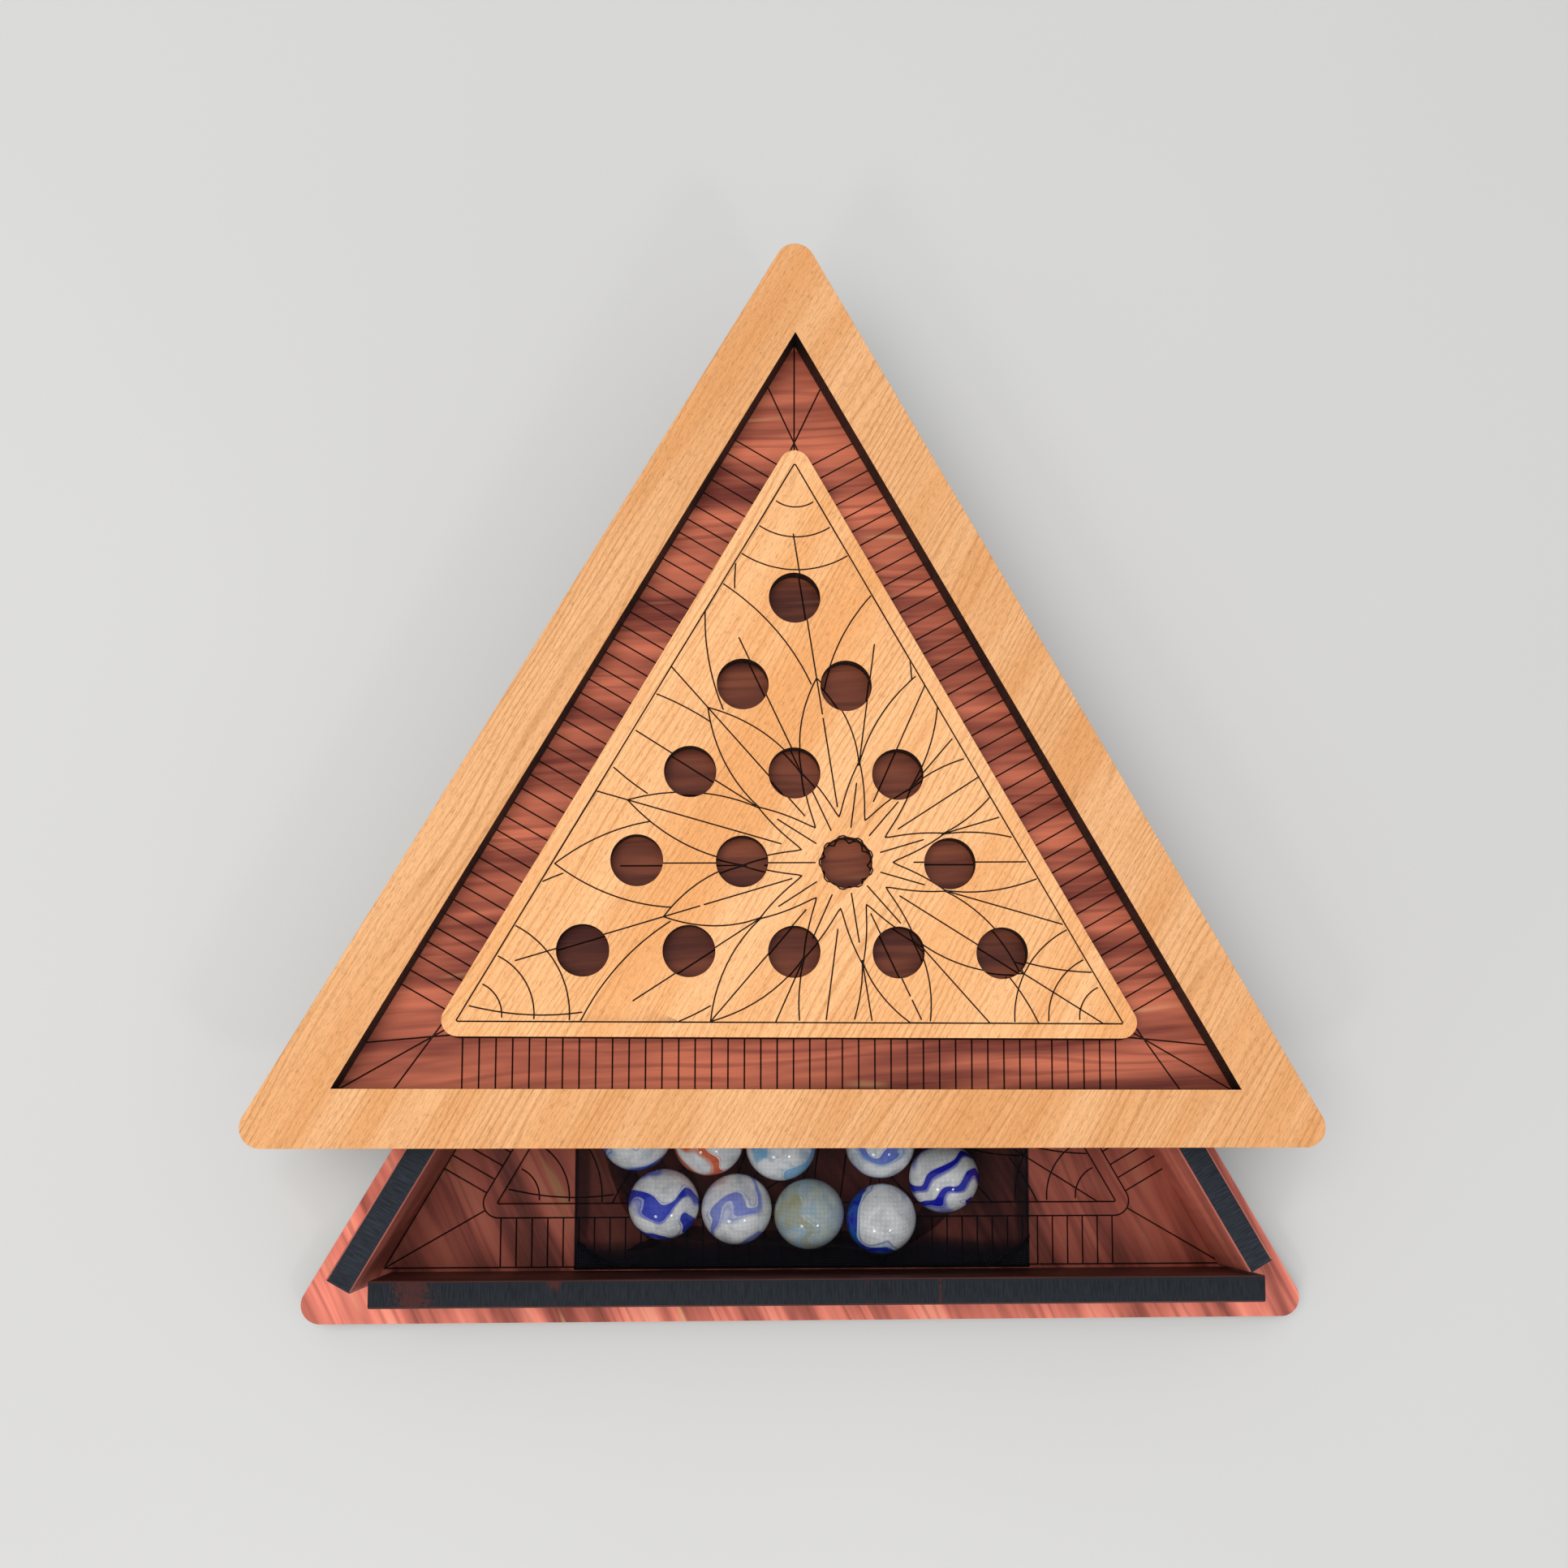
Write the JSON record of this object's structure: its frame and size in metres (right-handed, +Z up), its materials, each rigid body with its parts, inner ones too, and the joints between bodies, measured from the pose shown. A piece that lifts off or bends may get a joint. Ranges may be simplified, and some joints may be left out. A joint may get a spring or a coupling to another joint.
{
  "type": "marble solitaire board",
  "caption": "Triangular peg-style marble solitaire game: a holed playing board framed in a wooden lid that slides on a shallow triangular box holding a sheer pouch of glass marbles.",
  "frame": {"origin": "centre of the triangular box's underside", "axes": "+Z up, +Y towards the triangle's point (the back), +X to the right"},
  "size_m": [0.2308, 0.2355, 0.0372],
  "materials": {
    "cedar_box": "laser-engraved red cedar, oiled",
    "cedar_wall": "red cedar, top edges charred by the laser",
    "cedar_lid": "laser-engraved red cedar with pale sapwood, oiled",
    "pale_frame": "laser-cut pale hardwood, charred cut edges",
    "pale_board": "laser-cut and engraved pale hardwood, charred cut edges",
    "organza": "sheer black organza",
    "glass_blue": "white glass with blue swirls",
    "glass_periwinkle": "white glass with violet-blue swirls",
    "glass_smoke": "clear grey-green glass with pale swirls",
    "glass_deep_blue": "grey-white glass with deep blue wedges",
    "glass_orange": "white glass with orange-red swirls",
    "glass_cyan": "white glass with cyan swirls"
  },
  "bodies": {
    "box": {"base_panel": "cedar_box", "wall_front": "cedar_wall", "wall_right": "cedar_wall", "wall_left": "cedar_wall"},
    "lid": {"lid_panel": "cedar_lid", "lid_frame": "pale_frame", "play_board": "pale_board"},
    "pouch": {"marble_bag": "organza"},
    "marble_01": {"marble_01": "glass_blue"},
    "marble_02": {"marble_02": "glass_periwinkle"},
    "marble_03": {"marble_03": "glass_smoke"},
    "marble_04": {"marble_04": "glass_deep_blue"},
    "marble_05": {"marble_05": "glass_blue"},
    "marble_06": {"marble_06": "glass_orange"},
    "marble_07": {"marble_07": "glass_cyan"},
    "marble_08": {"marble_08": "glass_cyan"},
    "marble_09": {"marble_09": "glass_deep_blue"},
    "marble_10": {"marble_10": "glass_orange"},
    "marble_11": {"marble_11": "glass_periwinkle"},
    "marble_12": {"marble_12": "glass_smoke"},
    "marble_13": {"marble_13": "glass_blue"},
    "marble_14": {"marble_14": "glass_cyan"}
  },
  "joints": [
    {"name": "lid_slide", "type": "slide", "parent": "box", "child": "lid", "axis": [-0.1275, 0.9918, 0], "range_m": [-0.03922, 0.055]},
    {"name": "pouch_slide", "type": "slide", "parent": "box", "child": "pouch", "axis": [1, 0, 0], "range_m": [-0.004, 0.005]},
    {"name": "marble_01_roll", "type": "hinge", "parent": "pouch", "child": "marble_01", "pos_m": [-0.0328, -0.04046, 0.0146], "axis": [0, 1, 0], "range_deg": [-40, 40]},
    {"name": "marble_02_roll", "type": "hinge", "parent": "pouch", "child": "marble_02", "pos_m": [-0.0168, -0.04158, 0.0146], "axis": [0, 1, 0], "range_deg": [-40, 40]},
    {"name": "marble_03_roll", "type": "hinge", "parent": "pouch", "child": "marble_03", "pos_m": [-0.0008, -0.0427, 0.0146], "axis": [0, 1, 0], "range_deg": [-40, 40]},
    {"name": "marble_04_roll", "type": "hinge", "parent": "pouch", "child": "marble_04", "pos_m": [0.0152, -0.04382, 0.0146], "axis": [0, 1, 0], "range_deg": [-40, 40]},
    {"name": "marble_05_roll", "type": "hinge", "parent": "pouch", "child": "marble_05", "pos_m": [-0.03904, -0.02542, 0.0146], "axis": [0, 1, 0], "range_deg": [-40, 40]},
    {"name": "marble_06_roll", "type": "hinge", "parent": "pouch", "child": "marble_06", "pos_m": [-0.02304, -0.02654, 0.0146], "axis": [0, 1, 0], "range_deg": [-40, 40]},
    {"name": "marble_07_roll", "type": "hinge", "parent": "pouch", "child": "marble_07", "pos_m": [-0.00704, -0.02766, 0.0146], "axis": [0, 1, 0], "range_deg": [-40, 40]},
    {"name": "marble_08_roll", "type": "hinge", "parent": "pouch", "child": "marble_08", "pos_m": [0.01504, -0.02718, 0.0146], "axis": [0, 1, 0], "range_deg": [-40, 40]},
    {"name": "marble_09_roll", "type": "hinge", "parent": "pouch", "child": "marble_09", "pos_m": [0.02928, -0.03486, 0.0146], "axis": [0, 1, 0], "range_deg": [-40, 40]},
    {"name": "marble_10_roll", "type": "hinge", "parent": "pouch", "child": "marble_10", "pos_m": [-0.0312, -0.00926, 0.0146], "axis": [0, 1, 0], "range_deg": [-40, 40]},
    {"name": "marble_11_roll", "type": "hinge", "parent": "pouch", "child": "marble_11", "pos_m": [-0.0152, -0.00974, 0.0146], "axis": [0, 1, 0], "range_deg": [-40, 40]},
    {"name": "marble_12_roll", "type": "hinge", "parent": "pouch", "child": "marble_12", "pos_m": [0.0008, -0.01022, 0.0146], "axis": [0, 1, 0], "range_deg": [-40, 40]},
    {"name": "marble_13_roll", "type": "hinge", "parent": "pouch", "child": "marble_13", "pos_m": [0.0168, -0.0107, 0.0146], "axis": [0, 1, 0], "range_deg": [-40, 40]},
    {"name": "marble_14_roll", "type": "hinge", "parent": "pouch", "child": "marble_14", "pos_m": [0.0328, -0.01118, 0.0146], "axis": [0, 1, 0], "range_deg": [-40, 40]}
  ],
  "couplings": [
    {"joint": "marble_01_roll", "follows": "pouch_slide", "rad_per_m": 128.21},
    {"joint": "marble_02_roll", "follows": "pouch_slide", "rad_per_m": 128.21},
    {"joint": "marble_03_roll", "follows": "pouch_slide", "rad_per_m": 128.21},
    {"joint": "marble_04_roll", "follows": "pouch_slide", "rad_per_m": 128.21},
    {"joint": "marble_05_roll", "follows": "pouch_slide", "rad_per_m": 128.21},
    {"joint": "marble_06_roll", "follows": "pouch_slide", "rad_per_m": 128.21},
    {"joint": "marble_07_roll", "follows": "pouch_slide", "rad_per_m": 128.21},
    {"joint": "marble_08_roll", "follows": "pouch_slide", "rad_per_m": 128.21},
    {"joint": "marble_09_roll", "follows": "pouch_slide", "rad_per_m": 128.21},
    {"joint": "marble_10_roll", "follows": "pouch_slide", "rad_per_m": 128.21},
    {"joint": "marble_11_roll", "follows": "pouch_slide", "rad_per_m": 128.21},
    {"joint": "marble_12_roll", "follows": "pouch_slide", "rad_per_m": 128.21},
    {"joint": "marble_13_roll", "follows": "pouch_slide", "rad_per_m": 128.21},
    {"joint": "marble_14_roll", "follows": "pouch_slide", "rad_per_m": 128.21}
  ]
}
